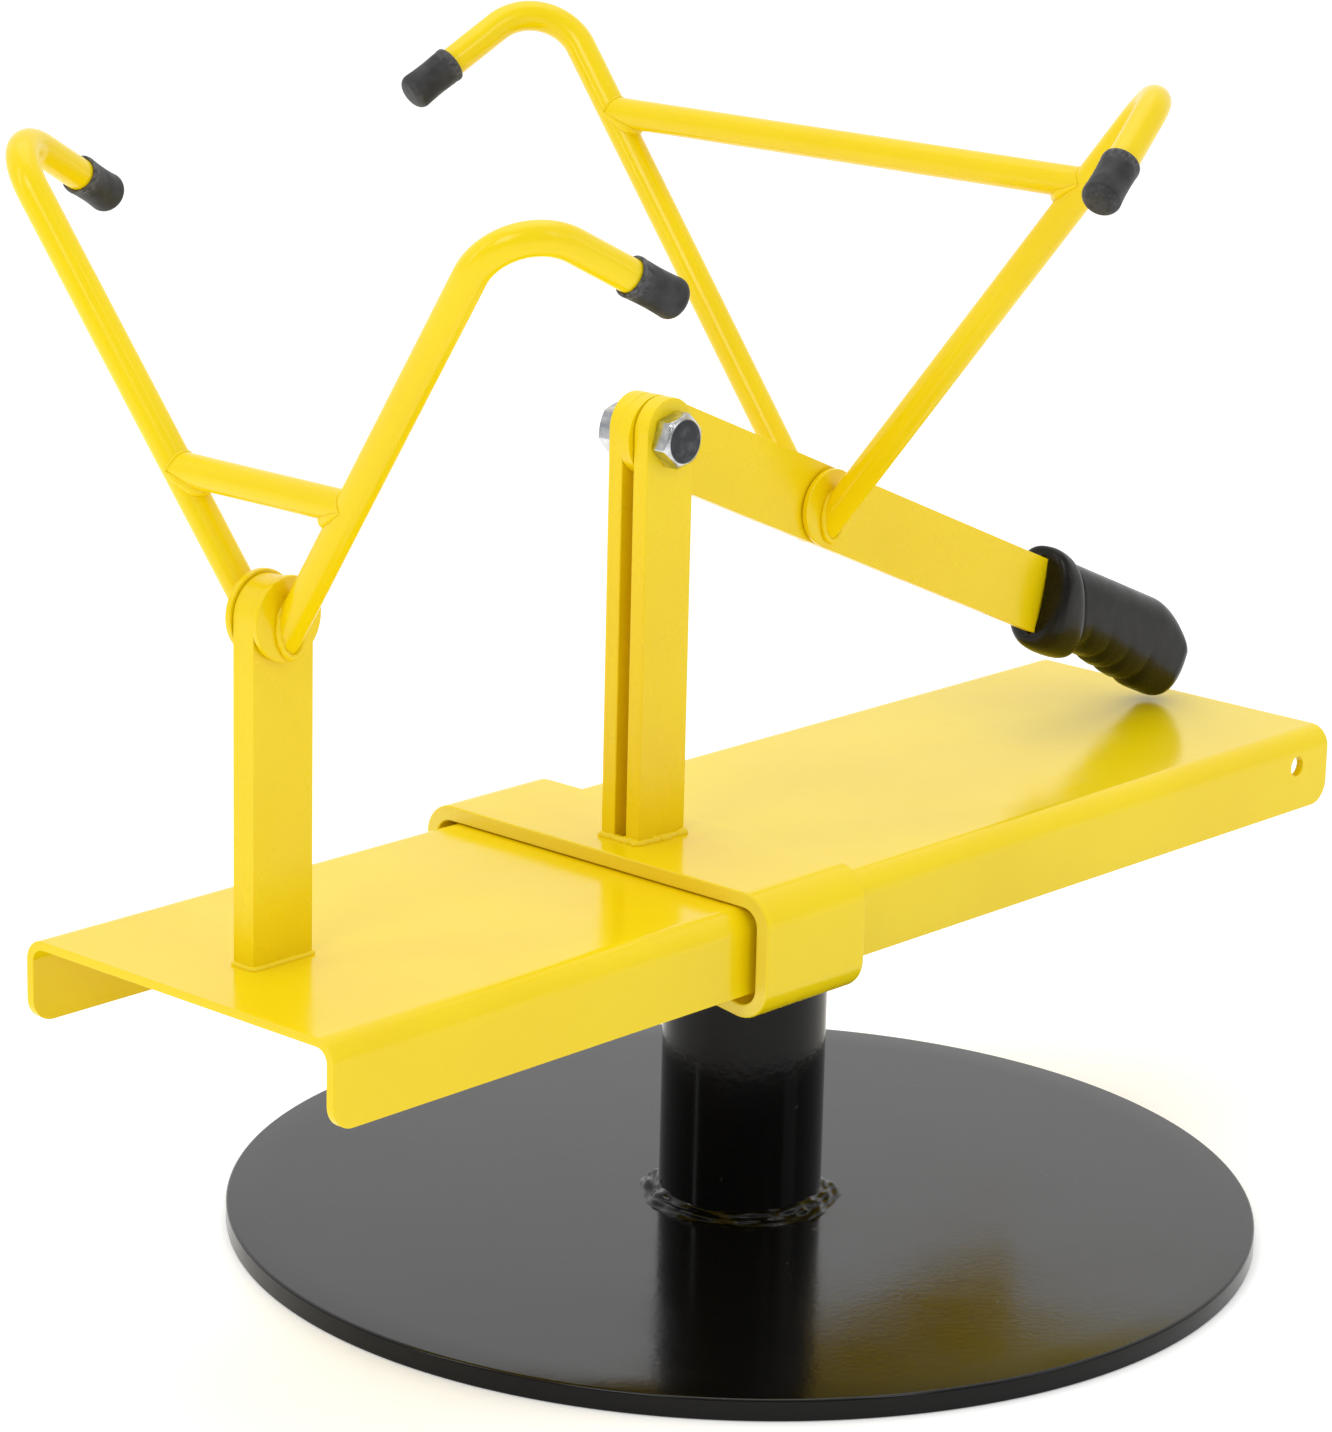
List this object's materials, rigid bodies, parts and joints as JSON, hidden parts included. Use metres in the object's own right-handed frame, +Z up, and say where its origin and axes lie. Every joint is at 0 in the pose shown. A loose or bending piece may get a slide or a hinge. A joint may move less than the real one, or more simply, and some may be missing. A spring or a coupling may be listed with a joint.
{
  "type": "bench tyre spreader",
  "caption": "Revolving bench tyre spreader: a beam turning on a round base, with a fixed and a lever-worked sliding hook frame that pull a tyre's beads apart.",
  "frame": {"origin": "on the post's axis, at the underside of the base plate", "axes": "+X along the beam from the fixed upright to the lever's grip, +Z up, -Y the side the lever bolt's head is on"},
  "size_m": [0.68, 0.48, 0.5465],
  "materials": {
    "yellow_paint": "gloss enamel",
    "black_paint": "gloss enamel",
    "zinc_steel": "bright zinc plate",
    "bright_steel": "turned",
    "bronze": "bored bush",
    "cap_rubber": "matt push-on cap",
    "grip_rubber": "satin moulded grip"
  },
  "bodies": {
    "base": {"base_plate": "black_paint", "post_tube": "black_paint", "post_weld": "black_paint", "upper_bush": "bronze", "lower_bush": "bronze", "stop_screw": "bright_steel"},
    "beam": {"beam_channel": "yellow_paint", "pivot_plate": "yellow_paint", "spindle": "bright_steel", "upright_bar": "yellow_paint", "upright_weld": "yellow_paint"},
    "slider": {"sleeve": "yellow_paint", "clevis_near": "yellow_paint", "clevis_far": "yellow_paint", "clevis_weld": "yellow_paint", "lever_bolt": "zinc_steel", "lever_nut": "zinc_steel"},
    "lever": {"lever_bar": "yellow_paint", "grip": "grip_rubber"},
    "left_frame": {"left_arm_near": "yellow_paint", "left_arm_far": "yellow_paint", "left_crossbar": "yellow_paint", "left_bar_weld_near": "yellow_paint", "left_bar_weld_far": "yellow_paint", "left_disc_near": "yellow_paint", "left_disc_far": "yellow_paint", "left_pin": "yellow_paint", "left_foot_weld_near": "yellow_paint", "left_foot_weld_far": "yellow_paint", "left_cap_near": "cap_rubber", "left_cap_far": "cap_rubber"},
    "right_frame": {"right_arm_near": "yellow_paint", "right_arm_far": "yellow_paint", "right_crossbar": "yellow_paint", "right_bar_weld_near": "yellow_paint", "right_bar_weld_far": "yellow_paint", "right_disc_near": "yellow_paint", "right_disc_far": "yellow_paint", "right_pin": "yellow_paint", "right_foot_weld_near": "yellow_paint", "right_foot_weld_far": "yellow_paint", "right_cap_near": "cap_rubber", "right_cap_far": "cap_rubber"}
  },
  "joints": [
    {"name": "turntable", "type": "hinge", "parent": "base", "child": "beam", "pos_m": [0, 0, 0.1812], "axis": [0, 0, 1], "continuous": true},
    {"name": "sleeve_slide", "type": "slide", "parent": "beam", "child": "slider", "axis": [1, 0, 0], "range_m": [-0.165, 0.33]},
    {"name": "lever_pivot", "type": "hinge", "parent": "slider", "child": "lever", "pos_m": [-0.073, 0, 0.383], "axis": [0, -1, 0], "range_deg": [0, 85]},
    {"name": "right_frame_pivot", "type": "hinge", "parent": "lever", "child": "right_frame", "pos_m": [0.04385, 0, 0.33326], "axis": [0, 1, 0], "range_deg": [-60, 90]},
    {"name": "left_frame_pivot", "type": "hinge", "parent": "beam", "child": "left_frame", "pos_m": [-0.298, 0, 0.3402], "axis": [0, 1, 0], "range_deg": [-60, 60]}
  ]
}
